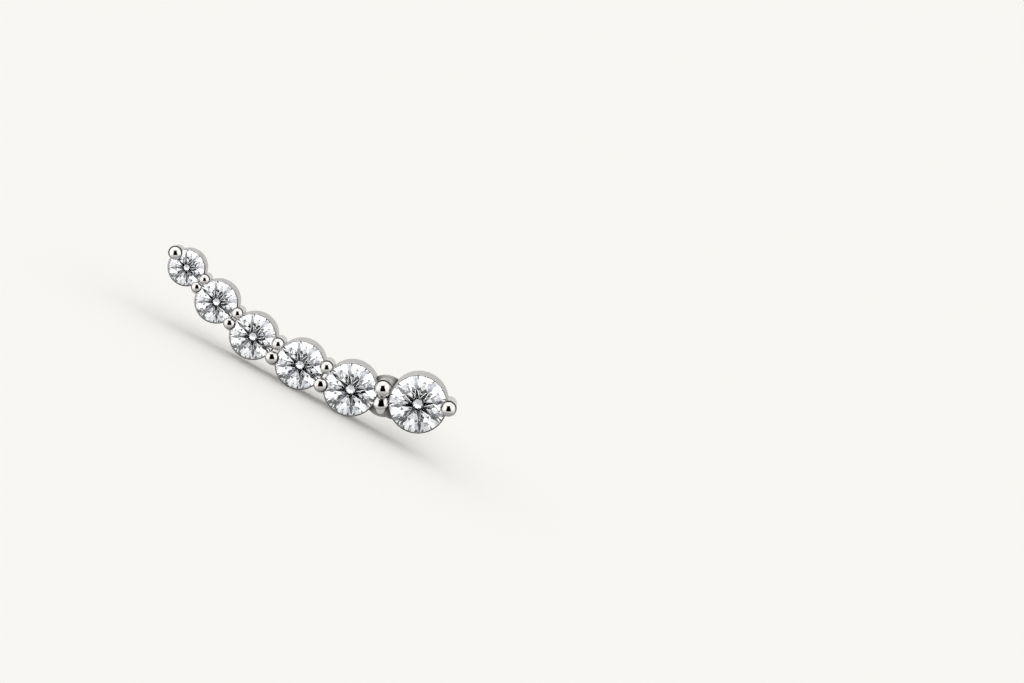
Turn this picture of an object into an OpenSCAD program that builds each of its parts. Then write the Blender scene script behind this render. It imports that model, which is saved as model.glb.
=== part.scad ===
// Ear climber: six graduated round stones in a curved row of cup settings.
// Neighbouring cups share a pair of ball-tipped prongs, each end has one prong of its own,
// and a plain ear post stands out behind the largest cup.
//
// Each shape is first laid on a bench: X to the right along the row, Y up the ear, Z towards the
// viewer, with the front rims of the cups at Z = 0. The whole row is then stood on its two middle
// cups, the way it rests on a table: +Z up, the stones facing -Y, the post pointing to +Y.

/* [Stones] */
// Width of the flat table as a share of the stone's diameter
table_share = 0.56; // [0.53:0.01:0.6]
// Slope of the main crown facets in degrees
crown_angle = 34.5; // [32:0.5:36]
// Slope of the main pavilion facets in degrees
pavilion_angle = 40.8; // [40:0.1:42]
// How far the star facets reach from the table to the girdle
star_share = 0.5; // [0.4:0.05:0.6]
// How far the lower facets reach from the girdle to the point
lower_share = 0.77; // [0.7:0.01:0.85]
// Girdle thickness as a share of the stone's diameter
girdle_share = 0.03; // [0.02:0.005:0.04]

/* [Cups] */
// Wall of a cup at its front rim
rim_wall = 0.07; // [0.05:0.01:0.15]
// Free space between a stone and its seat
seat_gap = 0.03; // [0.02:0.01:0.04]
// Depth of a cup from front rim to back as a share of its stone's diameter
cup_share = 0.6; // [0.58:0.01:0.7]
// How far the girdle sits below the front rim
rim_step = 0.03; // [0.01:0.01:0.06]
// Opening in the back of a cup as a share of the stone's diameter
back_hole_share = 0.5; // [0.35:0.05:0.6]
// Rounding of the back edge
back_round = 0.1; // [0.04:0.01:0.16]

/* [Prongs] */
// How far the ball centres stand in front of the rims
ball_lift = 0.2; // [0.1:0.05:0.3]
// Thickness of a prong's shaft as a share of its ball
shaft_share = 0.95; // [0.85:0.01:0.98]
// How far the shafts reach back, as a share of the depth of the smaller cup beside them
shaft_reach = 0.92; // [0.8:0.01:0.97]

/* [Joining boss] */
// Diameter of the round boss that joins the two largest cups
boss_d = 2.3; // [2.2:0.02:2.4]
// Diameter of the small bridge between the boss and the largest cup
bridge_d = 1.24; // [1.1:0.02:1.3]
// Width of the lower joining prong where it runs into the boss
flare_d = 1.1; // [1:0.02:1.2]

/* [Ear post] */
// Diameter of the ear post
post_d = 0.8; // [0.7:0.05:0.9]
// Length of the ear post behind the largest cup
post_len = 9.5; // [8:0.5:10]
// Thickness of the plate that closes the largest cup and carries the post
plate_t = 0.3; // [0.25:0.01:0.34]
// Diameter of the solder collar round the foot of the post
collar_d = 1.4; // [1.2:0.1:1.8]

/* [Hidden] */
white_gold = "#c9c7c4";
clear_stone = "#e6eef4";

$fn = 48;

// One row for each stone, smallest first: diameter, X and Y of its axis, turn of its facets.
STONES = [
    [1.86, -12.48, 7.46, 6],
    [2.19, -10.90, 5.60, -4],
    [2.39, -8.95, 3.71, 2],
    [2.54, -6.41, 2.15, 4],
    [2.80, -3.67, 0.81, -3],
    [3.06, 0, 0, 0]
];
diameter = 0;
across = 1;
up = 2;
turn = 3;
last = len(STONES) - 1;

// One row for each prong, from the small end to the large one: ball radius, X and Y of its axis.
PRONGS = [
    [0.39, -13.03, 8.28],
    [0.30, -11.48, 6.84],
    [0.28, -11.92, 6.44],
    [0.33, -9.73, 5.00],
    [0.32, -10.19, 4.48],
    [0.36, -7.55, 3.33],
    [0.36, -7.92, 2.63],
    [0.38, -4.93, 2.06],
    [0.38, -5.29, 1.14],
    [0.49, -1.89, 0.90],
    [0.45, -2.02, 0.12],
    [0.45, 1.68, -0.21]
];
ball = 0;
end_prong = len(PRONGS) - 1;

// The lower joining prong has its ball set back, and a wide end below and behind that ball.
flared_prong = 10;
flared_lift = -0.05;
flare_drop = 0.42;
flare_back = 1;

// The boss and its bridge: X and Y of the axis, then Z of the back, of the dome's foot, of its top.
boss_at = [-1.86, 0.28];
boss_z = [-1.6, -1.1, -0.1];
bridge_at = [-1.45, -0.38];
bridge_z = [-1.5, -1.2, -0.8];

collar_len = 0.25;
tip_round = 0.15;

// Facet stations of a stone of radius 1, with its girdle's top at height 0.
half = 22.5;
crown_h = tan(crown_angle) * (1 - table_share);
table_side = table_share * cos(half);
star_r = table_side + star_share * (1 - table_side);
star_h = tan(crown_angle) * (1 - star_r * cos(half));
lower_r = 1 - lower_share;
girdle_h = 2 * girdle_share;
pavilion_h = tan(pavilion_angle);
lower_h = pavilion_h * (1 - lower_r * cos(half));
// Tangent of the slope of the small facets that meet the girdle, above and below it.
chord_r = cos(half / 2);
crown_fall = star_h / (chord_r - star_r * chord_r);
pavilion_fall = lower_h / (chord_r - lower_r * chord_r);
// Points round the girdle: two for each small facet.
girdle_n = 32;

function stone_r(i) = STONES[i][diameter] / 2;
function cup_r(i) = stone_r(i) + seat_gap + rim_wall;
function cup_depth(i) = STONES[i][diameter] * cup_share;
// The smaller of the two cups beside prong k.
function beside(k) = max(0, floor((k - 1) / 2));

// The row stands on the two cups named here, with the line that touches both level.
foot_a = 3;
foot_b = 4;
foot_run = [STONES[foot_b][across] - STONES[foot_a][across], STONES[foot_b][up] - STONES[foot_a][up]];
rest_turn = asin((cup_r(foot_b) - cup_r(foot_a)) / norm(foot_run)) - atan2(foot_run[1], foot_run[0]);
function turned_x(x, y) = x * cos(rest_turn) - y * sin(rest_turn);
function turned_y(x, y) = x * sin(rest_turn) + y * cos(rest_turn);
floor_y = turned_y(STONES[foot_a][across], STONES[foot_a][up]) - cup_r(foot_a);
low_x = min(concat(
    [for (i = [0:last]) turned_x(STONES[i][across], STONES[i][up]) - cup_r(i)],
    [for (p = PRONGS) turned_x(p[across], p[up]) - p[ball]]));
high_x = max(concat(
    [for (i = [0:last]) turned_x(STONES[i][across], STONES[i][up]) + cup_r(i)],
    [for (p = PRONGS) turned_x(p[across], p[up]) + p[ball]]));
front_z = ball_lift + max([for (p = PRONGS) p[ball]]);
foot_z = -cup_depth(last);
back_z = foot_z - post_len;

// Stands a bench shape up at rest, with the origin under the middle of the whole piece.
module at_rest() {
    translate([-(low_x + high_x) / 2, (front_z + back_z) / 2, -floor_y])
        rotate([90, 0, 0])
            rotate([0, 0, rest_turn])
                children();
}

// Height of the girdle's upper or lower edge: it dips where a facet cuts past the chord.
function dip(a) = cos(a - half / 2 - half * floor(a / half)) - chord_r;
function ring(r, h, first) = [for (k = [0:7])
    let (a = first + k * 45)
        [r * cos(a), r * sin(a), h]];
function edge(height, fall) = [for (k = [0:girdle_n - 1])
    let (a = k * 360 / girdle_n)
        [cos(a), sin(a), height + fall * dip(a)]];

// A round brilliant of radius 1: table, stars, kites and small facets over a thin girdle,
// and long facets running to a point below it.
module brilliant() {
    table_0 = 0;
    star_0 = 8;
    top_0 = 16;
    under_0 = top_0 + girdle_n;
    lower_0 = under_0 + girdle_n;
    point_0 = lower_0 + 8;
    per = girdle_n / 8;
    mid = per / 2;
    points = concat(
        ring(table_share, crown_h, 0),
        ring(star_r, star_h, half),
        edge(0, -crown_fall),
        edge(-girdle_h, pavilion_fall),
        ring(lower_r, -girdle_h - lower_h, half),
        [[0, 0, -girdle_h - pavilion_h]]);
    function next(k) = (k + 1) % 8;
    function prev(k) = (k + 7) % 8;
    function g(k) = k % girdle_n;
    faces = concat(
        [[for (k = [7:-1:0]) table_0 + k]],
        [for (k = [0:7]) [table_0 + k, table_0 + next(k), star_0 + k]],
        [for (k = [0:7]) [table_0 + k, star_0 + k, top_0 + per * k, star_0 + prev(k)]],
        [for (k = [0:7]) concat(star_0 + k, [for (j = [mid:-1:0]) top_0 + per * k + j])],
        [for (k = [0:7]) concat(star_0 + k, [for (j = [per:-1:mid]) top_0 + g(per * k + j)])],
        [for (j = [0:girdle_n - 1]) [top_0 + j, top_0 + g(j + 1), under_0 + g(j + 1), under_0 + j]],
        [for (k = [0:7]) concat(lower_0 + k, [for (j = [0:mid]) under_0 + per * k + j])],
        [for (k = [0:7]) concat(lower_0 + k, [for (j = [mid:per]) under_0 + g(per * k + j)])],
        [for (k = [0:7]) [point_0, lower_0 + prev(k), under_0 + per * k, lower_0 + k]]);
    polyhedron(points, faces);
}

// Stone number i, set with its girdle just below the rim of its cup.
module stone(i) {
    color(clear_stone)
        at_rest()
            translate([STONES[i][across], STONES[i][up], -rim_step])
                rotate([0, 0, STONES[i][turn]])
                    scale(stone_r(i))
                        brilliant();
}

// Outer shape of a cup: a straight round wall with a rounded back edge.
module cup_body(i) {
    steps = 4;
    r = cup_r(i);
    depth = cup_depth(i);
    back = [for (k = [0:steps])
        let (a = -90 + 90 * k / steps)
            [r - back_round + back_round * cos(a), -depth + back_round + back_round * sin(a)]];
    translate([STONES[i][across], STONES[i][up], 0])
        rotate_extrude()
            polygon(concat([[0, 0], [0, -depth]], back, [[r, 0]]));
}

// The space a stone takes in its cup, with the gap round it, down to the cup's back opening.
module stone_space(i) {
    r = stone_r(i);
    hole = r * back_hole_share;
    girdle_low = -rim_step - r * girdle_h;
    seat_low = girdle_low - (r + seat_gap - hole) * tan(pavilion_angle);
    end = i == last ? foot_z + plate_t : -cup_depth(i) - seat_gap;
    translate([STONES[i][across], STONES[i][up], 0])
        rotate_extrude()
            polygon([
                [0, r * crown_h],
                [r * table_share + seat_gap, r * crown_h],
                [r * star_r + seat_gap, r * star_h],
                [r + seat_gap, 0],
                [r + seat_gap, girdle_low],
                [hole, seat_low],
                [hole, end],
                [0, end]]);
}

// The straight shaft of prong number k, between two cups.
module shaft(k, lift) {
    p = PRONGS[k];
    depth = cup_depth(beside(k)) * shaft_reach;
    translate([p[across], p[up], -depth])
        cylinder(r = p[ball] * shaft_share, h = depth + lift);
}

// A prong: its shaft, ending in a ball in front of the cups.
module prong(k) {
    p = PRONGS[k];
    shaft(k, ball_lift);
    translate([p[across], p[up], ball_lift])
        sphere(r = p[ball]);
}

// The lower joining prong widens downwards and backwards into the boss: its ball and a larger
// ball behind it, with the cone that touches both.
module flare() {
    p = PRONGS[flared_prong];
    small = p[ball];
    large = flare_d / 2;
    run = norm([flare_drop, flare_back]);
    lean = atan2(flare_drop, flare_back);
    touch = asin((large - small) / run);
    steps = 8;
    shaft(flared_prong, flared_lift);
    front = [for (k = [0:steps])
        let (a = 90 - k * (90 + touch) / steps)
            [small * cos(a), run + small * sin(a)]];
    behind = [for (k = [0:steps])
        let (a = -touch - k * (90 - touch) / steps)
            [large * cos(a), large * sin(a)]];
    translate([p[across], p[up] - flare_drop, flared_lift - flare_back])
        rotate([-lean, 0, 0])
            rotate_extrude()
                polygon(concat(front, behind));
}

// A round plug between two cups with a domed front: a short straight side, then a quarter ellipse.
module plug(at, d, z) {
    steps = 10;
    dome = [for (k = [0:steps])
        let (a = 90 * k / steps)
            [d / 2 * cos(a), z[1] + (z[2] - z[1]) * sin(a)]];
    translate([at[0], at[1], 0])
        rotate_extrude()
            polygon(concat([[0, z[0]], [d / 2, z[0]]], dome));
}

// Plain ear post on the plate of the largest cup: solder collar, straight pin, rounded tip.
module post() {
    translate([0, 0, foot_z - collar_len])
        cylinder(d1 = post_d, d2 = collar_d, h = collar_len);
    translate([0, 0, back_z + tip_round])
        cylinder(d = post_d, h = post_len - tip_round + plate_t / 2);
    translate([0, 0, back_z])
        cylinder(d1 = post_d - 2 * tip_round, d2 = post_d, h = tip_round);
}

// All the metal, soldered into one piece.
module setting() {
    color(white_gold)
        at_rest()
            difference() {
                union() {
                    for (i = [0:last])
                        cup_body(i);
                    for (k = [0:end_prong])
                        if (k != flared_prong)
                            prong(k);
                    flare();
                    plug(boss_at, boss_d, boss_z);
                    plug(bridge_at, bridge_d, bridge_z);
                    post();
                }
                for (i = [0:last])
                    stone_space(i);
            }
}

setting();
stone(0);  // stone_1
stone(1);  // stone_2
stone(2);  // stone_3
stone(3);  // stone_4
stone(4);  // stone_5
stone(5);  // stone_6
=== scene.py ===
# %% [markdown]
# An ear climber is a curved row of stones that follows the edge of the ear. This lesson dresses
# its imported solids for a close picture: white gold, six round brilliants, a pale table and even
# studio light. The solids come first, because every piece here takes its place and size from
# them.

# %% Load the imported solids
import math

import bpy
import numpy as np
from mathutils import Matrix, Vector


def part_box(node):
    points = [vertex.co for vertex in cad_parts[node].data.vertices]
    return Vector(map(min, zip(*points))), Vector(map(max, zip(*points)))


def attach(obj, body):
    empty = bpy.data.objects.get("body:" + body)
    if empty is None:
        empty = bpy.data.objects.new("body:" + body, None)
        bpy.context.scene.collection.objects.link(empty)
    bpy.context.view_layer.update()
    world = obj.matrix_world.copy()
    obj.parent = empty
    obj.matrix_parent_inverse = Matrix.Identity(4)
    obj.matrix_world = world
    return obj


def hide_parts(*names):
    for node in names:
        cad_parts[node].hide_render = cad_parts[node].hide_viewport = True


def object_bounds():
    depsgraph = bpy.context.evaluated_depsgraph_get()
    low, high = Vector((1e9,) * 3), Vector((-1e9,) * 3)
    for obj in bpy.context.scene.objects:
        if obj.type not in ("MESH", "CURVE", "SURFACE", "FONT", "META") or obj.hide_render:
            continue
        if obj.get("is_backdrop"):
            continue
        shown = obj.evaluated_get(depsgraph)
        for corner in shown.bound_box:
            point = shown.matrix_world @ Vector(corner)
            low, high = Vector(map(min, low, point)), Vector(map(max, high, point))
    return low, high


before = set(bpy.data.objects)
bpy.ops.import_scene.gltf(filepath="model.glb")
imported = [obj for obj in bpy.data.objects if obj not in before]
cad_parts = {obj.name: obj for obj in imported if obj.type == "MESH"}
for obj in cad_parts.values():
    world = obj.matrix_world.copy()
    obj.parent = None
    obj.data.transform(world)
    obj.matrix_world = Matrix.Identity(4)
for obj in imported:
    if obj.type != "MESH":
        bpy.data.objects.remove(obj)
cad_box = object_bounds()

MM = 0.001
print("solids:", sorted(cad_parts))
print("box in mm:", [round(v / MM, 2) for corner in cad_box for v in corner])

# %% [markdown]
# A setter lays the whole row out flat before soldering it. The same is done here: each shape is
# first worked out on a bench in millimetres, X along the row, Y up the ear and Z towards the eye,
# with the front rims of the cups at Z = 0. One short table gives the stones, another the prongs.
# Afterwards everything is stood up at once, the way the piece rests on its two middle cups.

# %% The row on the bench
# For each stone, smallest first: diameter, X and Y of its axis, turn of its facets in degrees.
STONES = np.array([
    (1.86, -12.48, 7.46, 0),
    (2.19, -10.90, 5.60, 0),
    (2.39, -8.95, 3.71, 0),
    (2.54, -6.41, 2.15, 2),
    (2.80, -3.67, 0.81, 2),
    (3.06, 0.00, 0.00, 4),
])
stone_r = STONES[:, 0] / 2
stone_at = STONES[:, 1:3]
stone_turn = STONES[:, 3]

# For each prong, from the small end to the large one: radius of its ball, X and Y of its axis.
PRONGS = np.array([
    (0.39, -13.03, 8.28),
    (0.30, -11.48, 6.84),
    (0.28, -11.92, 6.44),
    (0.33, -9.73, 5.00),
    (0.32, -10.19, 4.48),
    (0.36, -7.55, 3.33),
    (0.36, -7.92, 2.63),
    (0.38, -4.93, 2.06),
    (0.38, -5.29, 1.14),
    (0.49, -1.89, 0.90),
    (0.45, -2.02, 0.12),
    (0.45, 1.68, -0.21),
])
ball_r = PRONGS[:, 0]
prong_at = PRONGS[:, 1:3]
FLARED_PRONG = 10  # counted from 0
# Height of the balls' centres, then the gap round a stone, the wall outside it, how far the
# girdles lie under the rims, and a cup's depth as a share of its stone's width.
BALL_LIFT = 0.2
SEAT_GAP = 0.03
RIM_WALL = 0.07
RIM_STEP = 0.03
CUP_SHARE = 0.6
cup_r = stone_r + SEAT_GAP + RIM_WALL
cup_depth = 2 * stone_r * CUP_SHARE

# %% Stand the row up
# The two cups it stands on are the fourth and the fifth: the line that touches both lies level.
FOOT_A, FOOT_B = 3, 4
run = stone_at[FOOT_B] - stone_at[FOOT_A]
level_turn = math.asin((cup_r[FOOT_B] - cup_r[FOOT_A]) / np.hypot(*run))
rest_turn = level_turn - math.atan2(run[1], run[0])
turn_axes = np.array([
    (math.cos(rest_turn), 0, math.sin(rest_turn)),
    (-math.sin(rest_turn), 0, math.cos(rest_turn)),
    (0, -1, 0),
])


def turned(points):
    """Bench points times the three axes of the standing row: its X, its Y and the way it faces."""
    return np.asarray(points, float) @ turn_axes


round_at = np.vstack([stone_at, prong_at])
round_r = np.concatenate([cup_r, ball_r])
stood = turned(np.c_[round_at, np.zeros(len(round_at))])
front = BALL_LIFT + ball_r.max()
post_len = (cad_box[1].y - cad_box[0].y) / MM - cup_depth[-1] - front
shift = np.array([
    -((stood[:, 0] - round_r).min() + (stood[:, 0] + round_r).max()) / 2,
    (front - cup_depth[-1] - post_len) / 2,
    cup_r[FOOT_A] - stood[FOOT_A, 2],
])


def at_rest(points):
    """Turned bench points plus one shift, in metres: each point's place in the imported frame."""
    return (turned(points) + shift) * MM


for k in range(len(STONES)):
    low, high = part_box(f"stone_{k + 1}")
    centre = at_rest([*stone_at[k], 0])
    off = max(abs((low.x + high.x) / 2 - centre[0]), abs((low.z + high.z) / 2 - centre[2]))
    print(f"stone {k + 1} is {off / MM:.3f} mm from its solid")
print(f"turned {math.degrees(rest_turn):.2f} degrees, post {post_len:.2f} mm long")

# %% [markdown]
# Almost everything in the setting is turned on a lathe or drawn as wire, so nearly every piece is
# a profile carried round an axis. It could be spun by Blender's Screw modifier, but then its
# points could not be notched or darkened one by one. The helpers below use whole arrays: a
# profile of radius and height times a ring of angles gives a grid of points, and the grid's
# corners are numbered to give the faces. A profile that starts or ends on the axis gets one
# shared point there, so that no hole or stack of points is left at the pole.

# %% Lathe helpers
SIDES = 96
SIDES_CLOSE = 128


def rounded(corners, steps=6):
    """Each corner (radius, height, rounding) becomes an arc that touches both of its sides."""
    corners = np.array(corners, float)
    path = []
    for k, (x, y, size) in enumerate(corners):
        here = np.array([x, y])
        before = corners[k - 1, :2] - here
        after = corners[(k + 1) % len(corners), :2] - here
        if size <= 0:
            path.append(here[None])
            continue
        before, after = before / np.hypot(*before), after / np.hypot(*after)
        half = math.acos(np.clip(before @ after, -1, 1)) / 2
        middle = here + (before + after) / np.hypot(*(before + after)) * size / math.sin(half)
        start = here + before * size / math.tan(half) - middle
        end = here + after * size / math.tan(half) - middle
        a0 = math.atan2(start[1], start[0])
        sweep = (math.atan2(end[1], end[0]) - a0 + math.pi) % (2 * math.pi) - math.pi
        angles = a0 + sweep * np.linspace(0, 1, steps + 1)
        path.append(middle + size * np.c_[np.cos(angles), np.sin(angles)])
    return np.vstack(path)


def lathe(profile, closed=False, sides=SIDES):
    """Point (i, j) is the profile's point i turned by j shares of a circle about the Z axis."""
    profile = np.asarray(profile, float)
    angles = np.linspace(0, 2 * np.pi, sides, endpoint=False)
    ring = np.stack([np.cos(angles), np.sin(angles)], -1)
    grid = np.concatenate([
        profile[:, None, :1] * ring[None],
        np.broadcast_to(profile[:, None, 1:], (len(profile), sides, 1)),
    ], -1)
    first, last = (0, len(profile)) if closed else (1, len(profile) - 1)
    number = np.arange((last - first) * sides).reshape(-1, sides)
    lower = number if closed else number[:-1]
    upper = np.roll(number, -1, 0) if closed else number[1:]
    quads = np.stack([lower, np.roll(lower, -1, 1), np.roll(upper, -1, 1), upper], -1)
    points = grid[first:last].reshape(-1, 3)
    faces = quads.reshape(-1, 4).tolist()
    if not closed:
        start, end = len(points), len(points) + 1
        points = np.vstack([points, (0, 0, profile[0, 1]), (0, 0, profile[-1, 1])])
        around = np.arange(sides)
        beside = np.roll(around, -1)
        faces += np.c_[np.full(sides, start), number[0][beside], number[0][around]].tolist()
        faces += np.c_[np.full(sides, end), number[-1][around], number[-1][beside]].tolist()
    return points, faces


# %% Turn points and faces into a piece
SMOOTH_BELOW = math.radians(28)


def new_object(name, points, faces, material):
    """An object at the origin, with the points in metres and the faces as its mesh."""
    mesh = bpy.data.meshes.new(name)
    mesh.from_pydata(np.asarray(points).tolist(), [], faces)
    mesh.materials.append(material)
    obj = bpy.data.objects.new(name, mesh)
    bpy.context.scene.collection.objects.link(obj)
    return obj


def piece(name, points, faces, material, node, smooth=True, painted_shade=None):
    """A mesh of bench points put at rest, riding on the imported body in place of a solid."""
    obj = new_object(name, at_rest(points), faces, material)
    mesh = obj.data
    mesh.validate()
    if smooth:
        mesh.shade_smooth()
        mesh.set_sharp_from_angle(angle=SMOOTH_BELOW)
    # Each point's share of painted shade, kept in an attribute that the metal reads.
    if painted_shade is not None:
        mesh.attributes.new("painted_shade", "FLOAT", "POINT").data.foreach_set("value", painted_shade)
    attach(obj, "root")
    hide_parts(node)
    return obj


# %% Node helpers
def empty_tree(owner):
    """The node tree of a material or world, with nothing in it yet."""
    owner.use_nodes = True
    owner.node_tree.nodes.clear()
    return owner.node_tree


def feed(tree, socket, value):
    """Another node's output is linked to the socket; a number or colour is set on it."""
    if isinstance(value, bpy.types.NodeSocket):
        tree.links.new(value, socket)
    else:
        socket.default_value = value


def show(tree, shader, output="ShaderNodeOutputMaterial"):
    """The shader becomes what the tree puts out."""
    tree.links.new(shader, tree.nodes.new(output).inputs["Surface"])


def maths(tree, operation, *values):
    """One operation on numbers, such as MULTIPLY."""
    node = tree.nodes.new("ShaderNodeMath")
    node.operation = operation
    for socket, value in zip(node.inputs, values):
        feed(tree, socket, value)
    return node.outputs["Value"]


def vector(tree, operation, *values):
    """One operation on directions, such as NORMALIZE; DOT_PRODUCT gives a number."""
    node = tree.nodes.new("ShaderNodeVectorMath")
    node.operation = operation
    for socket, value in zip(node.inputs, values):
        feed(tree, socket, value)
    return node.outputs["Value" if operation == "DOT_PRODUCT" else "Vector"]


def ramp(tree, value, start, end, low=0.0, high=1.0):
    """Low up to the start, high from the end on, and a soft S between them."""
    node = tree.nodes.new("ShaderNodeMapRange")
    node.interpolation_type = "SMOOTHSTEP"
    numbers = {"From Min": start, "From Max": end, "To Min": low, "To Max": high}
    for name, number in numbers.items():
        node.inputs[name].default_value = number
    feed(tree, node.inputs["Value"], value)
    return node.outputs["Result"]


def blend(tree, factor, first, second):
    """One colour where the factor is 0, the other where it is 1."""
    node = tree.nodes.new("ShaderNodeMix")
    node.data_type = "RGBA"
    feed(tree, node.inputs["Factor"], factor)
    feed(tree, node.inputs["A"], first)
    feed(tree, node.inputs["B"], second)
    return node.outputs["Result"]


def noise(tree, scale, detail=3.0, stretch=(1, 1, 1)):
    """Noise in object coordinates, stretched along one axis where the pattern has a grain."""
    where = tree.nodes.new("ShaderNodeTexCoord")
    grain = tree.nodes.new("ShaderNodeMapping")
    grain.inputs["Scale"].default_value = stretch
    pattern = tree.nodes.new("ShaderNodeTexNoise")
    pattern.inputs["Scale"].default_value = scale
    pattern.inputs["Detail"].default_value = detail
    tree.links.new(where.outputs["Object"], grain.inputs["Vector"])
    tree.links.new(grain.outputs["Vector"], pattern.inputs["Vector"])
    return pattern.outputs["Fac"]


def patches(tree, scale, detail=3.0, low=0.0, high=1.0):
    """Noise whose middle third is stretched to run from low to high: soft patches of two kinds."""
    return ramp(tree, noise(tree, scale, detail), 0.35, 0.65, low, high)


def new_material(name):
    """A material whose tree holds a Principled shader and an output."""
    material = bpy.data.materials.new(name)
    tree = empty_tree(material)
    shader = tree.nodes.new("ShaderNodeBsdfPrincipled")
    show(tree, shader.outputs["BSDF"])
    return material, tree, shader.inputs


# %% [markdown]
# Rhodium-plated white gold isn't one surface. The balls of the prongs are burnished to a mirror,
# the walls of the cups and the post come satin from the polishing drum, and no wheel reaches the
# boss and the bridge, so they stay matt. Three finishes share one recipe and differ in roughness
# alone. A plain metal shader would look like a computer's chrome, so the recipe adds what the
# eye finds on the real one, all of it very fine: the plating is a shade warmer or cooler here
# and there, the last buffing leaves the sheen a little uneven, and hair-fine lines run one way.
# Each point of a piece also carries a share of painted shade in an attribute, which darkens the
# metal where shadows and dark reflections fall, so it follows the form and not a pattern.

# %% White gold
PLATING_PER_M, SHEEN_PER_M, HAIRLINES_PER_M = 900, 2600, 9000
HAIR_STRENGTH, HAIR_DEPTH, HAIR_STRETCH = 0.04, 2e-6, (1, 1, 0.08)
LIGHT_PLATING = (0.80, 0.785, 0.77, 1)
DARK_PLATING = (0.74, 0.725, 0.71, 1)
# The colour that painted shade darkens the metal towards.
PAINTED_SHADE_COLOUR = (0.05, 0.047, 0.044, 1)


def make_white_gold(name, smoothest, roughest):
    """Metal in two tints, darkened by its painted shade, with patches of sheen and hairlines."""
    material, tree, shader = new_material(name)
    tint = blend(tree, patches(tree, PLATING_PER_M), LIGHT_PLATING, DARK_PLATING)
    # Each point's share of painted shade darkens the base colour towards the shade colour.
    painted_shade_node = tree.nodes.new("ShaderNodeAttribute")
    painted_shade_node.attribute_name = "painted_shade"
    feed(tree, shader["Base Color"], blend(tree, painted_shade_node.outputs["Fac"], tint, PAINTED_SHADE_COLOUR))
    feed(tree, shader["Metallic"], 1.0)
    feed(tree, shader["Roughness"], patches(tree, SHEEN_PER_M, 5, smoothest, roughest))
    hairlines = tree.nodes.new("ShaderNodeBump")
    feed(tree, hairlines.inputs["Strength"], HAIR_STRENGTH)
    feed(tree, hairlines.inputs["Distance"], HAIR_DEPTH)
    feed(tree, hairlines.inputs["Height"], noise(tree, HAIRLINES_PER_M, 2, HAIR_STRETCH))
    feed(tree, shader["Normal"], hairlines.outputs["Normal"])
    return material


white_gold = make_white_gold("white_gold", 0.03, 0.08)
satin_gold = make_white_gold("satin_gold", 0.28, 0.31)
matt_gold = make_white_gold("matt_gold", 0.56, 0.62)
print("finishes:", [finish.name for finish in (white_gold, satin_gold, matt_gold)])

# %% [markdown]
# A cut stone has no colour of its own: its bright and dark wedges are the studio, seen through
# facets that bend and mirror the light. They could be painted on, but then they would stay still
# while the stone turns. Here the stone is clear and the light takes its real paths, bent as
# strongly as such a crystal bends it. Only the faintest cloud of tint varies inside.

# %% Clear stone
IOR = 2.417
CLOUD_PER_M = 400
CLEAREST = (0.985, 0.99, 1.0, 1)
CLOUDY = (0.97, 0.98, 1.0, 1)


def make_clear_stone():
    """Smooth crystal that passes all light, tinted by a soft cloud."""
    material, tree, shader = new_material("clear_stone")
    feed(tree, shader["Base Color"], blend(tree, patches(tree, CLOUD_PER_M), CLEAREST, CLOUDY))
    feed(tree, shader["Transmission Weight"], 1.0)
    feed(tree, shader["IOR"], IOR)
    feed(tree, shader["Roughness"], 0.0)
    return material


clear_stone = make_clear_stone()

# %% [markdown]
# The camera stands where the photographer's stood: a little above the row and to its right, far
# enough away that the cups' sides only just show. It comes before the stones, because a setter
# tips them towards the eye. Its place follows from four readings of the photograph: where the
# largest stone's centre lies, the height at which lines along the stones' axes would meet, the
# distance, and the lens.

# %% Camera
PHOTO_W, PHOTO_H = 1024, 683
LENS_PX = 2000.0
DISTANCE = 108.0
AXES_MEET_ROW = 125.0
LARGE_STONE_PX = (417.8, 404.2)
SENSOR = 36.0

pitch = math.atan2(PHOTO_H / 2 - AXES_MEET_ROW, LENS_PX)
side = (LARGE_STONE_PX[0] - PHOTO_W / 2) / LENS_PX
drop = (LARGE_STONE_PX[1] - PHOTO_H / 2) / LENS_PX
ray = np.array([
    side,
    -math.sin(pitch) - drop * math.cos(pitch),
    -math.cos(pitch) + drop * math.sin(pitch),
])
eye = -ray * DISTANCE / -ray[2]
right = turned([1, 0, 0])
above = turned([0, math.cos(pitch), -math.sin(pitch)])
back = turned([0, math.sin(pitch), math.cos(pitch)])

camera_data = bpy.data.cameras.new("camera")
camera_data.sensor_width = SENSOR
camera_data.lens = LENS_PX * SENSOR / PHOTO_W
camera_data.clip_start = 0.001
camera = bpy.data.objects.new("camera", camera_data)
bpy.context.scene.collection.objects.link(camera)
place = Matrix.Identity(4)
for column, axis in enumerate((right, above, back)):
    place.col[column].xyz = axis
place.col[3].xyz = at_rest(eye)
camera.matrix_world = place
bpy.context.scene.camera = camera
print("camera in mm:", np.round(at_rest(eye) / MM, 1), "lens", round(camera_data.lens, 2))

# %% [markdown]
# A round brilliant has a table, eight stars, eight kites and sixteen small facets above its
# girdle, and eight long facets and sixteen small ones below it. Every one of them is flat, so the
# stone is built from its corner points rather than from a smooth form: the points follow from
# the slopes that cutters use. Only the girdle is round, and where a flat facet meets it the edge
# runs in a shallow arc. A setter turns and tips the stones until they all look alike from in
# front. The crowns stay level with the rims here, and each pavilion leans over by the angle at
# which a ray from the eye runs inside the stone, so that all eight arrows show.

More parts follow.
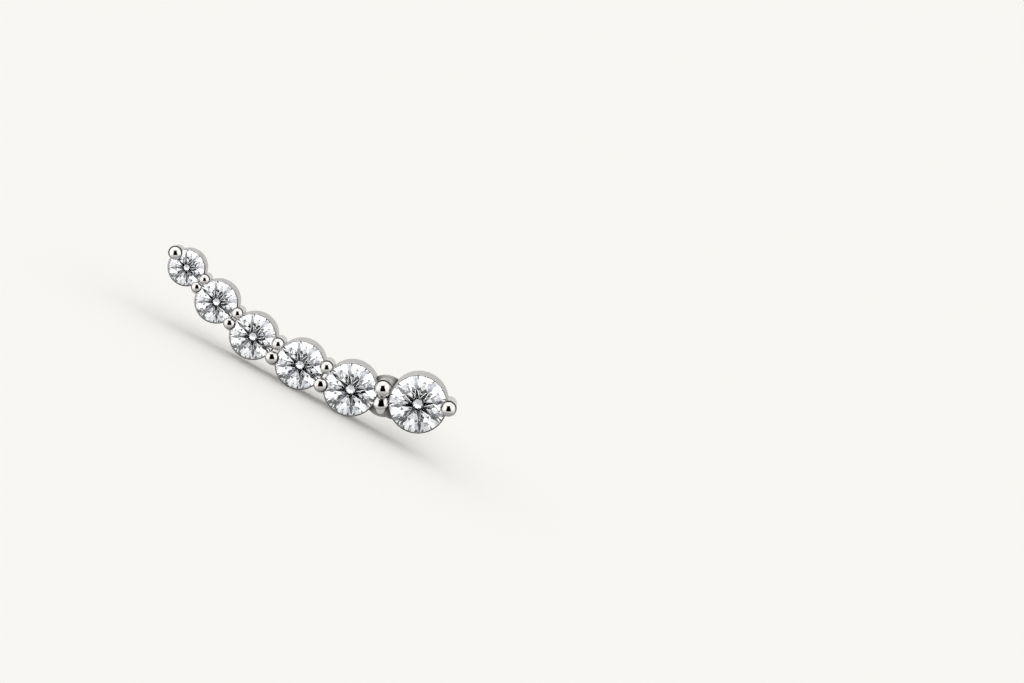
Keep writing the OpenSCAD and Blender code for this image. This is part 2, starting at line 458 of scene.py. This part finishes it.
# %% Facet stations for a stone of radius 1
TABLE = 0.56
CROWN_SLOPE = math.tan(math.radians(34.5))
PAVILION_SLOPE = math.tan(math.radians(40.8))
STAR_SHARE = 0.5
LOWER_SHARE = 0.77
GIRDLE = 0.105
GIRDLE_N = 128
EIGHTH = math.pi / 4
crown_h = CROWN_SLOPE * (1 - TABLE)
table_side = TABLE * math.cos(EIGHTH / 2)
star_r = table_side + STAR_SHARE * (1 - table_side)
star_h = CROWN_SLOPE * (1 - star_r * math.cos(EIGHTH / 2))
lower_r = 1 - LOWER_SHARE
lower_h = PAVILION_SLOPE * (1 - lower_r * math.cos(EIGHTH / 2))
chord = math.cos(EIGHTH / 4)
crown_fall = star_h / (chord * (1 - star_r))
pavilion_fall = lower_h / (chord * (1 - lower_r))


def eight(radius, height, first):
    """Eight points on a circle at one height, the first of them at the given angle."""
    a = first + np.arange(8) * EIGHTH
    return np.c_[radius * np.cos(a), radius * np.sin(a), np.full(8, height)]


def facet_points(lean):
    """Corner rings at the table, star tips, girdle edges, lower points and tip. The two girdle
    edges are on the unit circle; everything below turns about the lower one's centre by the
    length of the lean, and the lower edge drops towards the eye by its share of that turn."""
    a = np.arange(GIRDLE_N) * 2 * np.pi / GIRDLE_N
    circle = np.c_[np.cos(a), np.sin(a)]
    dip = np.cos((a % (EIGHTH / 2)) - EIGHTH / 4) - chord
    deep = np.vstack([eight(lower_r, -lower_h, EIGHTH / 2), [(0, 0, -PAVILION_SLOPE)]])
    turn = Matrix.Rotation(np.hypot(*lean), 3, Vector((-lean[1], lean[0], 0)))
    return np.vstack([
        eight(TABLE, crown_h, 0),
        eight(star_r, star_h, EIGHTH / 2),
        np.c_[circle, -crown_fall * dip],
        np.c_[circle, pavilion_fall * dip - circle @ lean] - (0, 0, GIRDLE),
        deep @ np.array(turn).T - (0, 0, GIRDLE),
    ])


def facets():
    """Numbers of the corners of each flat facet, then of the girdle's narrow sides."""
    table, star, upper = 0, 8, 16
    lower_edge = upper + GIRDLE_N
    lower = lower_edge + GIRDLE_N
    tip = lower + 8
    share = GIRDLE_N // 8
    mid = share // 2

    def edge(base, k, steps):
        return [base + (share * k + s) % GIRDLE_N for s in steps]

    faces = [list(range(table, table + 8))]
    for k in range(8):
        after, before = (k + 1) % 8, (k - 1) % 8
        faces.append([star + k, table + after, table + k])
        faces.append([star + before, upper + share * k, star + k, table + k])
        faces.append([star + k] + edge(upper, k, range(0, mid + 1)))
        faces.append([star + k] + edge(upper, k, range(mid, share + 1)))
        faces.append([lower + k] + edge(lower_edge, k, range(mid, -1, -1)))
        faces.append([lower + k] + edge(lower_edge, k, range(share, mid - 1, -1)))
        faces.append([lower + k, lower_edge + share * k, lower + before, tip])
    step = np.arange(GIRDLE_N)
    beside = np.roll(step, -1)
    sides = [upper + step, lower_edge + step, lower_edge + beside, upper + beside]
    return faces + np.stack(sides, -1).tolist()


# %% Set the six stones
# A set stone nearly touches its cup, so it takes up this much of the gap that the solids leave.
SETTLED = 0.02

for k in range(len(STONES)):
    a = math.radians(stone_turn[k])
    spin = np.array([(math.cos(a), math.sin(a), 0), (-math.sin(a), math.cos(a), 0), (0, 0, 1)])
    sight = eye - (*stone_at[k], 0)
    lean = spin[:2, :2] @ (sight[:2] / np.linalg.norm(sight) / IOR)
    cut = facet_points(lean) @ spin * (stone_r[k] + SETTLED) + (*stone_at[k], -RIM_STEP)
    solid = f"stone_{k + 1}"
    piece(f"brilliant_{k + 1}", cut, facets(), clear_stone, solid, smooth=False)
print("facets in a stone:", len(facets()) - GIRDLE_N, "with", GIRDLE_N, "sides round the girdle")

# %% [markdown]
# Each stone sits in a plain cup: a short tube whose front edge is thin and rounded, with a cone
# inside for the stone to rest on and an opening in the back to clean it through. A tube with
# thickness from a Solidify modifier would have no cone, so one closed profile carried round the
# axis gives all of it, with small roundings where a polishing wheel would soften the edges. The
# largest cup is closed at the back, because it carries the post. Painted shade draws the cups'
# outlines on the outer edges: behind all the way round, and in front on the side that looks
# down.

# %% Cups
BACK_HOLE_SHARE = 0.5
PLATE_T = 0.3
LEAN_DROP = 0.075
RIM_ROUND, BACK_ROUND, HOLE_ROUND = 0.055, 0.1, 0.05
CONE_ROUND, SEAT_ROUND, BORE_ROUND = 0.03, 0.01, 0.012
# Painted shade on the cups' outer edges: its strength in front, how far up the rim it reaches
# there, and its strength behind.
FRONT_SHADE, FRONT_SIDE, BACK_SHADE = 1.0, 0.8, 0.45
CLOSED_CUP = len(STONES) - 1


def cup_profile(k):
    """Corners of the wall: cone, bore, front rim, back edge and opening, each with a rounding."""
    r, outer, depth = stone_r[k], cup_r[k], cup_depth[k]
    bore, hole = r + SEAT_GAP, r * BACK_HOLE_SHARE
    girdle_low = -RIM_STEP - r * (GIRDLE + LEAN_DROP)
    seat_low = girdle_low - (bore - hole) * PAVILION_SLOPE
    wall = [
        (hole, seat_low, CONE_ROUND), (bore, girdle_low, SEAT_ROUND), (bore, 0, BORE_ROUND),
        (outer, 0, RIM_ROUND), (outer, -depth, BACK_ROUND),
    ]
    if k == CLOSED_CUP:
        floor = PLATE_T - depth
        return rounded([(0, floor, 0), (hole, floor, 0), *wall, (0, -depth, 0)])[::-1]
    return rounded([*wall, (hole, -depth, HOLE_ROUND)])[::-1]


def painted_shade_on_edges(points, k):
    """Painted shade, full in the middle of the outer edges' roundings and none at their ends."""
    beside = np.hypot(*points[:, :2].T) - cup_r[k]
    front = 1 - np.hypot(beside, points[:, 2]) / RIM_ROUND
    behind = 1 - np.hypot(beside, points[:, 2] + cup_depth[k]) / BACK_ROUND
    down = np.clip(FRONT_SIDE - points[:, 1] / cup_r[k], 0, 1)
    return (FRONT_SHADE * down * np.clip(2 * front, 0, 1)
            + BACK_SHADE * np.clip(2 * behind, 0, 1))


for k in range(len(STONES)):
    points, faces = lathe(cup_profile(k), closed=k != CLOSED_CUP, sides=SIDES_CLOSE)
    piece(f"cup_{k + 1}", points + (*stone_at[k], 0), faces, satin_gold, "setting",
          painted_shade=painted_shade_on_edges(points, k))
print("cups in mm, width and depth:", np.round(np.c_[2 * cup_r, cup_depth], 2).tolist())

# %% [markdown]
# A prong is a wire soldered between two cups. Once the stone is in, its end is pushed over the
# stone's edge and burnished into a ball, and the wire behind the ball is notched so that the
# girdle sits in it. The notch could be cut by a boolean, which leaves ragged faces on so small a
# part. Here it is made the way a bur makes it: every point that would lie in a stone's space is
# moved out to the edge of that space.

# %% Make room for the stones
NOTCH = 0.012
FITTING_ROUNDS = 8


def crown_height(k, radius):
    """Height of the space over stone k at a distance from its axis: table, stars, crown, edge."""
    r = stone_r[k]
    return np.interp(radius, [0, r * TABLE + SEAT_GAP, r * star_r + SEAT_GAP, r + SEAT_GAP],
                     [r * crown_h, r * crown_h, r * star_h, 0])


def notched(points, k):
    """Points behind stone k's rim and over its seat move straight out of the bore."""
    bore = stone_r[k] + SEAT_GAP
    away = points[:, :2] - stone_at[k]
    radius = np.hypot(*away.T)
    seat = -RIM_STEP - stone_r[k] * (GIRDLE + LEAN_DROP) - (bore - radius) * PAVILION_SLOPE
    behind = (radius < bore + NOTCH) & (points[:, 2] < 0) & (points[:, 2] > seat)
    grow = np.where(behind, (bore + NOTCH) / np.maximum(radius, 1e-6), 1)
    return np.c_[stone_at[k] + away * grow[:, None], points[:, 2]]


def pushed_over(points, k, ball):
    """Points of a ball (centre, radius, height) that dip into stone k's crown move along the
    ball's own form, or inside it, up to the crown. The crown is higher further in, so the move
    is made over a few rounds."""
    centre, r, high = ball
    points = points.copy()
    radius = np.hypot(*(points[:, :2] - stone_at[k]).T)
    inside = (radius < stone_r[k] + SEAT_GAP) & (points[:, 2] >= 0)
    under = inside & (points[:, 2] < crown_height(k, radius))
    for _ in range(FITTING_ROUNDS):
        out = points[:, :2] - centre[:2]
        height = crown_height(k, np.hypot(*(points[:, :2] - stone_at[k]).T))
        room = r * np.sqrt(np.clip(1 - ((height - centre[2]) / high) ** 2, 0, None))
        shrink = np.minimum(1, room / np.maximum(np.hypot(*out.T), 1e-6))
        moved = centre[:2] + out * shrink[:, None]
        points[:, :2] = np.where(under[:, None], moved, points[:, :2])
        points[:, 2] = np.where(under, height, points[:, 2])
    return points


def clear_of_stones(points, ball=None):
    """Every stone in turn cuts its notch and, where there is a ball, pushes it up."""
    for k in range(len(STONES)):
        cut = notched(points, k)
        points = cut if ball is None else pushed_over(cut, k, ball)
    return points


# %% Wire, ball and painted shade
SHAFT_SHARE = 0.95
WIRE_END_ROUND = 0.05
# Painted shade round each ball: how far below the ball's middle it starts, how far from a stone it
# reaches, and its least share; where on the ball it is full and where it ends; and the share of
# its depth over which it fades in.
BALL_SHADE_DEPTH, BALL_SHADE_REACH, BALL_SHADE_LEAST = 0.08, 0.4, 0.35
BALL_SHADE_FULL, BALL_SHADE_FACE, BALL_SHADE_SOFT = 0.3, 0.6, 0.8
WIRE_STEPS, BALL_STEPS = 20, 48


def prong_profile(ball, high, depth, lift):
    """Straight wire with a softened back end, then the arc of a ball that many mm high."""
    wire = ball * SHAFT_SHARE
    join = -math.acos(SHAFT_SHARE)
    back = rounded([(0, -depth, 0), (wire, -depth, WIRE_END_ROUND), (wire, 0, 0)])[:-1]
    length = np.linspace(back[-1, 1], lift + ball * math.sin(join), WIRE_STEPS)[1:]
    arc = np.linspace(join, math.pi / 2, BALL_STEPS)[1:]
    return np.vstack([
        back,
        np.c_[np.full(len(length), wire), length],
        np.c_[ball * np.cos(arc), lift + np.where(arc > 0, high, ball) * np.sin(arc)],
    ])


def painted_shade_round_ball(points, lift, high):
    """Painted shade, full round the widest part of the ball, none on its face or further down the
    wire, and less on the sides that lie away from the stones."""
    up = (points[:, 2] - lift) / high
    over = points[:, 2] - lift + BALL_SHADE_DEPTH
    low = np.clip(over / (BALL_SHADE_DEPTH * BALL_SHADE_SOFT), 0, 1)
    face = np.clip((BALL_SHADE_FACE - up) / (BALL_SHADE_FACE - BALL_SHADE_FULL), 0, 1)
    away = [np.hypot(*(points[:, :2] - stone_at[k]).T) - stone_r[k] for k in range(len(STONES))]
    near = 1 - np.clip(np.min(away, 0) / BALL_SHADE_REACH, 0, 1)
    return low * face * (BALL_SHADE_LEAST + (1 - BALL_SHADE_LEAST) * near)


# %% [markdown]
# The upper prongs run straight back from their balls. Four of the lower ones stand out from the
# row under their balls, and those balls are pressed a little flatter, as happens when prongs are
# pushed over by hand. They could be bent as curves, but moving the points by a smooth step of
# their depth keeps ball and wire one form.

# %% Prongs
# For each prong that stands out, counted from 0: by how much to the right and up.
STAND_OUT = {2: (-0.06, -0.18), 4: (0.08, -0.20), 6: (0.10, -0.22), 8: (0.08, -0.22)}
STAND_START, STAND_DEPTH, STAND_WIDER = 0.8, 0.8, 1.12
PRESSED = 0.78
SHAFT_REACH = 0.92


def stand_out(points, ball, offset):
    """The prong moves by a smooth step of the depth below its ball's top and grows thicker."""
    share = np.clip((BALL_LIFT + STAND_START * ball - points[:, 2]) / STAND_DEPTH, 0, 1)
    share = (share * share * (3 - 2 * share))[:, None]
    beside = points[:, :2] * (1 + (STAND_WIDER - 1) * share) + share * offset
    return np.c_[beside, points[:, 2]]


for k, (ball, x, y) in enumerate(PRONGS):
    if k == FLARED_PRONG:
        continue
    smaller_cup = max(0, (k - 1) // 2)
    high = ball * (PRESSED if k in STAND_OUT else 1)
    depth = cup_depth[smaller_cup] * SHAFT_REACH
    points, faces = lathe(prong_profile(ball, high, depth, BALL_LIFT))
    if k in STAND_OUT:
        points = stand_out(points, ball, STAND_OUT[k])
    points = clear_of_stones(points + (x, y, 0), ((x, y, BALL_LIFT), ball, high))
    piece(f"prong_{k + 1}", points, faces, white_gold, "setting",
          painted_shade=painted_shade_round_ball(points, BALL_LIFT, high))
print("prongs:", len(PRONGS) - 1, "straight or standing out, and one flared")

# %% [markdown]
# Between the two largest stones the row is stiffened by a domed boss, with a small bridge to the
# largest cup, and the lower joining prong runs into it in a smooth flare. Each dome is a quarter
# ellipse carried round its axis; the flare is the prong's ball, a larger one behind it and the
# cone that touches both, leaned over as one. Painted shade is thickest in the corners beside the
# cups, which is what makes the boss look round and the cups stand free of it.

# %% Boss and bridge
# For each: X and Y of the axis, radius, then Z of the back, of the dome's foot and of its top.
PLUGS = {
    "joining_boss": ((-1.86, 0.28), 1.15, (-1.6, -1.1, -0.1)),
    "bridge": ((-1.45, -0.38), 0.62, (-1.5, -1.2, -0.8)),
}
PLUG_ROUND = 0.06
DOME_STEPS = 40
# Painted shade in the corners: how far from a cup it reaches, and its share right beside one.
CORNER_REACH, CORNER_SHARE = 0.5, 1.0
# The least painted shade at two heights of the bench: more low down, where the plug faces the
# table.
LEAST_AT, LEAST_SHARE = (-0.9, 0.3), (0.3, 0.02)


def painted_shade_in_corners(points):
    """Painted shade, most beside a cup and falling with the square of the distance, a little more
    low down.
    """
    away = [np.hypot(*(points[:, :2] - stone_at[k]).T) - cup_r[k] for k in range(len(STONES))]
    near = 1 - np.clip(np.min(away, 0) / CORNER_REACH, 0, 1)
    least = np.interp(points[:, 1], LEAST_AT, LEAST_SHARE)
    return least + (CORNER_SHARE - least) * near ** 2


for name, (at, r, (back_z, foot_z, top_z)) in PLUGS.items():
    turn = np.linspace(0, math.pi / 2, DOME_STEPS)
    dome = np.c_[r * np.cos(turn), foot_z + (top_z - foot_z) * np.sin(turn)]
    foot = rounded([(0, back_z, 0), (r, back_z, PLUG_ROUND), (r, top_z, 0)])[:-1]
    points, faces = lathe(np.vstack([foot, dome]), sides=SIDES_CLOSE)
    points = clear_of_stones(points + (*at, 0))
    piece(name, points, faces, matt_gold, "setting",
          painted_shade=painted_shade_in_corners(points))
    print(f"{name}: {2 * r:.2f} mm across, {top_z - back_z:.2f} mm from back to top")

# %% Flared prong
FLARE_R, FLARE_DROP, FLARE_BACK, FLARE_LIFT = 0.55, 0.42, 1.0, -0.05
FLARE_PRESSED = 0.65
FLARE_FADE = 0.3
FLARE_STEPS = 24

ball, x, y = PRONGS[FLARED_PRONG]
high = ball * FLARE_PRESSED
reach, lean = math.hypot(FLARE_DROP, FLARE_BACK), math.atan2(FLARE_DROP, FLARE_BACK)
touch = math.asin((FLARE_R - ball) / reach)
small_arc = np.linspace(math.pi / 2, -touch, DOME_STEPS)
large_arc = np.linspace(-touch, -math.pi / 2, FLARE_STEPS)
small_high = np.where(small_arc > 0, high, ball)
flare = np.vstack([
    np.c_[ball * np.cos(small_arc), reach + small_high * np.sin(small_arc)],
    np.c_[FLARE_R * np.cos(large_arc), FLARE_R * np.sin(large_arc)],
])[::-1]
tilt = np.array([
    (1, 0, 0),
    (0, math.cos(lean), -math.sin(lean)),
    (0, math.sin(lean), math.cos(lean)),
])
points, faces = lathe(flare)
points = points @ tilt + (x, y - FLARE_DROP, FLARE_LIFT - FLARE_BACK)
points = clear_of_stones(points, ((x, y, FLARE_LIFT), ball, high))
# Painted shade on the flared prong: round its ball, and behind it in the corners beside the cups.
behind = np.clip((FLARE_LIFT - points[:, 2]) / FLARE_FADE, 0, 1)
painted_shade = np.maximum(painted_shade_round_ball(points, FLARE_LIFT, high), behind * painted_shade_in_corners(points))
piece(f"prong_{FLARED_PRONG + 1}", points, faces, white_gold, "setting",
      painted_shade=painted_shade)
print(f"the flared prong leans over by {math.degrees(lean):.1f} degrees")

# %% [markdown]
# The post goes through the ear. It is drawn wire with a small collar of solder at its foot and a
# softly rounded tip. A curve with a bevel could draw the wire, but not the collar, so the post is
# one profile too. It starts a little inside the back of the largest cup, as a soldered wire does.

# %% Ear post
POST_R, COLLAR_R, COLLAR_LEN, COLLAR_ROUND, TIP = 0.4, 0.7, 0.25, 0.15, 0.15
POST_SUNK = 0.1
POST_SIDES, POST_STEPS = 64, 10
foot_z, tip_z = -cup_depth[-1], -cup_depth[-1] - post_len
corners = [
    (0, tip_z, 0), (POST_R, tip_z, TIP), (POST_R, foot_z - COLLAR_LEN, COLLAR_ROUND),
    (COLLAR_R, foot_z, 0), (COLLAR_R, foot_z + POST_SUNK, 0), (0, foot_z + POST_SUNK, 0),
]
points, faces = lathe(rounded(corners, POST_STEPS), sides=POST_SIDES)
piece("ear_post", points, faces, satin_gold, "setting")
print(f"ear post: {2 * POST_R:.1f} mm thick, its tip {-tip_z:.2f} mm behind the rims")

# %% [markdown]
# The table is white card under an even light, so it comes out the colour of the backdrop and only
# the soft shadow of the row shows on it. Card has no gloss worth drawing, only fine fibres. A
# glossy table would mirror the tent in patches, so the card is plain diffuse.

# %% Table
BACKDROP = (0.939, 0.930, 0.897, 1)
FIBRES = (0.936, 0.927, 0.894, 1)
FIBRES_PER_M = 3000
TABLE_HALF = 4.0


def make_table_card():
    """Diffuse card in the backdrop's colour, a shade darker along its fibres."""
    material = bpy.data.materials.new("table_card")
    tree = empty_tree(material)
    card = tree.nodes.new("ShaderNodeBsdfDiffuse")
    feed(tree, card.inputs["Color"], blend(tree, patches(tree, FIBRES_PER_M), BACKDROP, FIBRES))
    show(tree, card.outputs[0])
    return material


corners = np.array([(-1, -1, 0), (1, -1, 0), (1, 1, 0), (-1, 1, 0)]) * TABLE_HALF
table = new_object("table", corners, [(0, 1, 2, 3)], make_table_card())
table.visible_glossy = False
table.visible_transmission = False
table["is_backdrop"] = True

# %% [markdown]
# Polished metal and cut stones show nothing but their surroundings, so the surroundings are the
# light. The piece stands in a round white tent as wide as the camera is far: bright above, paler
# below where the table is, with a dark opening that the camera looks through. The tent is a real
# shell and not a picture at infinity, because each stone along the row has to find the opening
# in its own direction. It is painted the way a mirror ball in its middle would show it, which is
# how a photographer checks a tent: the place on the ball's face is the direction halfway between
# a point of the tent and the eye.

# %% Tent shell
TENT_RINGS, TENT_SIDES = 129, 256

centre = at_rest([*stone_at.mean(0), 0])
tent_radius = np.linalg.norm(at_rest(eye) - centre)
to_eye = (at_rest(eye) - centre) / tent_radius
across = np.cross(above, to_eye)
across /= np.linalg.norm(across)
upward = np.cross(to_eye, across)

tent_cloth = bpy.data.materials.new("tent_cloth")
cloth = empty_tree(tent_cloth)
turn = np.linspace(-math.pi / 2, math.pi / 2, TENT_RINGS)
points, faces = lathe(np.c_[np.cos(turn), np.sin(turn)] * tent_radius, sides=TENT_SIDES)
tent = new_object("tent", points + centre, faces, tent_cloth)
tent.data.shade_smooth()
tent.visible_camera = False
tent.visible_diffuse = False
tent.visible_shadow = False
tent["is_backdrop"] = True
print("tent radius in mm:", round(tent_radius / MM, 1))

# %% Places on the mirror ball
where = cloth.nodes.new("ShaderNodeTexCoord").outputs["Object"]
direction = vector(cloth, "NORMALIZE", vector(cloth, "SUBTRACT", where, tuple(centre)))
halfway = vector(cloth, "NORMALIZE", vector(cloth, "ADD", direction, tuple(to_eye)))
ball_x = vector(cloth, "DOT_PRODUCT", halfway, tuple(across))
ball_y = vector(cloth, "DOT_PRODUCT", halfway, tuple(upward))
from_eye = maths(cloth, "ARCCOSINE", vector(cloth, "DOT_PRODUCT", direction, tuple(to_eye)))
ball_out = maths(cloth, "SINE", maths(cloth, "MULTIPLY", from_eye, 0.5))


# %% Brushes for the cloth
def both(first, second):
    """Two masks at once."""
    return maths(cloth, "MULTIPLY", first, second)


def within(value, low, high, soft):
    """1 where the value lies between low and high, falling to 0 over the soft width outside."""
    above_low = ramp(cloth, value, low - soft, low)
    return both(above_low, ramp(cloth, value, high, high + soft, 1.0, 0.0))


def paint(level, where, new):
    """The new level where the mask is 1, the old one where it is 0."""
    node = cloth.nodes.new("ShaderNodeMix")
    feed(cloth, node.inputs["Factor"], where)
    feed(cloth, node.inputs["A"], level)
    feed(cloth, node.inputs["B"], new)
    return node.outputs["Result"]


# %% [markdown]
# On the metal, the photographer's tent shows as a white field that greys towards the table, a
# soft fold up each side, a dark band round the edge of every ball and the opening as a dark
# figure in its middle, wider below than above. Each is one stroke of paint over the last, and the
# numbers are places on the mirror ball, whose radius is 1.

# %% Tent as the metal sees it
WHITE, GREY, FOLD, FAR_CLOTH, DARK_CLOTH = 1.3, 0.45, 0.7, 0.72, 0.03
TABLE_TO_WHITE = (-0.7, -0.05)
FOLD_SHIFT, FOLD_HALF, FOLD_SOFT, FOLD_FROM = -0.07, 0.015, 0.02, (0.2, 0.25)
DARK_BAND, DARK_FROM = (0.74, 0.82), (-0.55, 0.0)
FAR_BAND = (0.935, 0.955)
OPENING_BELOW, OPENING_ABOVE, OPENING_TURN = 0.3, 0.21, (-0.2, 0.15)
OPENING_HEIGHT, OPENING_SOFT = (-0.33, 0.28), 0.05
OPENING_SIDE = (-0.03, 0.02)

side_x = maths(cloth, "ABSOLUTE", ball_x)
metal_level = ramp(cloth, ball_y, *TABLE_TO_WHITE, GREY, WHITE)
fold = maths(cloth, "SUBTRACT", side_x, maths(cloth, "ADD", ball_y, FOLD_SHIFT))
fold = both(within(fold, -FOLD_HALF, FOLD_HALF, FOLD_SOFT), ramp(cloth, ball_y, *FOLD_FROM))
metal_level = paint(metal_level, fold, FOLD)
dark = ramp(cloth, ball_y, *DARK_FROM, GREY, DARK_CLOTH)
metal_level = paint(metal_level, ramp(cloth, ball_out, *DARK_BAND), dark)
metal_level = paint(metal_level, ramp(cloth, ball_out, *FAR_BAND), FAR_CLOTH)
width = ramp(cloth, ball_y, *OPENING_TURN, OPENING_BELOW, OPENING_ABOVE)
beside = ramp(cloth, maths(cloth, "SUBTRACT", side_x, width), *OPENING_SIDE, 1.0, 0.0)
opening = both(beside, within(ball_y, *OPENING_HEIGHT, OPENING_SOFT))
metal_level = paint(metal_level, opening, 0.0)

# %% [markdown]
# The stones send the eye back to places all over the tent. A dark ring round the lens draws the
# arrows of the star, and the bright spot inside it lights the star's middle. Two round dark flags
# give the dark wedges on one side, and the cloth is brighter on the other. Where the paint is
# darker it is a little bluer, so the greys inside the stones are cool as in the photograph. Rays
# that went through a stone see this paint, all others see the metal's.

# %% Tent as the stones see it
# Round dark flags: degrees to the right of the eye, degrees above it, radius in degrees.
DARK_FLAGS = [(-6, -30, 13), (-55, -19, 18)]
FLAG_LEVEL, FLAG_SOFT = 0.05, 1.5
BRIGHT_SIDE, DIM, BRIGHT = 75, 0.85, 1.75
LENS_EDGE, RING_EDGE, RING_SOFT = 6.5, 20.5, 3
BEHIND_FROM, BEHIND_SHARE = (75, 110), 0.45
COOL, WARM, COOL_TO_WARM = (0.82, 0.89, 1, 1), (1, 0.995, 0.985, 1), (0.3, 1.2)


def beside_eye(degrees):
    """Cosine of the angle, seen round the eye's direction, to one so far above the right."""
    a = math.radians(degrees)
    toward = across * math.cos(a) + upward * math.sin(a)
    share = vector(cloth, "DOT_PRODUCT", direction, tuple(toward))
    return maths(cloth, "DIVIDE", share, maths(cloth, "SINE", from_eye))


def flag_mask(rightward, upright, size):
    """1 inside a circle of that many degrees about the flag's place, 0 outside it."""
    a, out = math.atan2(upright, rightward), math.radians(math.hypot(rightward, upright))
    flag = to_eye * math.cos(out) + (across * math.cos(a) + upward * math.sin(a)) * math.sin(out)
    near = vector(cloth, "DOT_PRODUCT", direction, tuple(flag))
    edges = [math.cos(math.radians(size + soft)) for soft in (FLAG_SOFT, -FLAG_SOFT)]
    return ramp(cloth, near, *edges)


degrees_out = maths(cloth, "DEGREES", from_eye)
stone_level = ramp(cloth, beside_eye(BRIGHT_SIDE), -1, 1, DIM, BRIGHT)
ring = within(degrees_out, LENS_EDGE, RING_EDGE, RING_SOFT)
stone_level = paint(stone_level, ring, 0.0)
lens = ramp(cloth, degrees_out, LENS_EDGE, LENS_EDGE + RING_SOFT, 1.0, 0.0)
stone_level = paint(stone_level, lens, 1.0)
for dark_flag in DARK_FLAGS:
    stone_level = paint(stone_level, flag_mask(*dark_flag), FLAG_LEVEL)
shade = ramp(cloth, degrees_out, *BEHIND_FROM, 1.0, BEHIND_SHARE)
stone_level = maths(cloth, "MULTIPLY", stone_level, shade)
stone_tint = blend(cloth, ramp(cloth, stone_level, *COOL_TO_WARM), COOL, WARM)


# %% Put the lights together
METAL_TINT = (1.0, 0.995, 0.985, 1)
BOUNCES, GLOSSY_BOUNCES = 32, 12


def shine(tree, kind, colour, strength):
    """A light of one kind, with its colour and strength."""
    node = tree.nodes.new(kind)
    feed(tree, node.inputs["Color"], colour)
    feed(tree, node.inputs["Strength"], strength)
    return node.outputs[0]


def choose(tree, ray, others, this):
    """This light for one kind of ray, the other light for all the rest."""
    node = tree.nodes.new("ShaderNodeMixShader")
    tree.links.new(tree.nodes.new("ShaderNodeLightPath").outputs[ray], node.inputs["Fac"])
    tree.links.new(others, node.inputs[1])
    tree.links.new(this, node.inputs[2])
    return node.outputs["Shader"]


for_metal = shine(cloth, "ShaderNodeEmission", METAL_TINT, metal_level)
for_stones = shine(cloth, "ShaderNodeEmission", stone_tint, stone_level)
show(cloth, choose(cloth, "Is Transmission Ray", for_metal, for_stones))

world = bpy.data.worlds.new("studio")
room = empty_tree(world)
even = shine(room, "ShaderNodeBackground", (1, 1, 1, 1), 1.0)
backdrop = shine(room, "ShaderNodeBackground", BACKDROP, 1.0)
show(room, choose(room, "Is Camera Ray", even, backdrop), "ShaderNodeOutputWorld")

scene = bpy.context.scene
scene.world = world
scene.view_settings.view_transform = "Standard"
scene.cycles.max_bounces = BOUNCES
scene.cycles.transmission_bounces = BOUNCES
scene.cycles.glossy_bounces = GLOSSY_BOUNCES
print("paint nodes on the tent:", len(cloth.nodes))

# %% Compare the boxes and finish
new_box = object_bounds()
growth = [(n - c) / MM for a, b in zip(cad_box, new_box) for c, n in zip(a, b)]
print("grown by mm:", [round(g, 3) for g in growth])
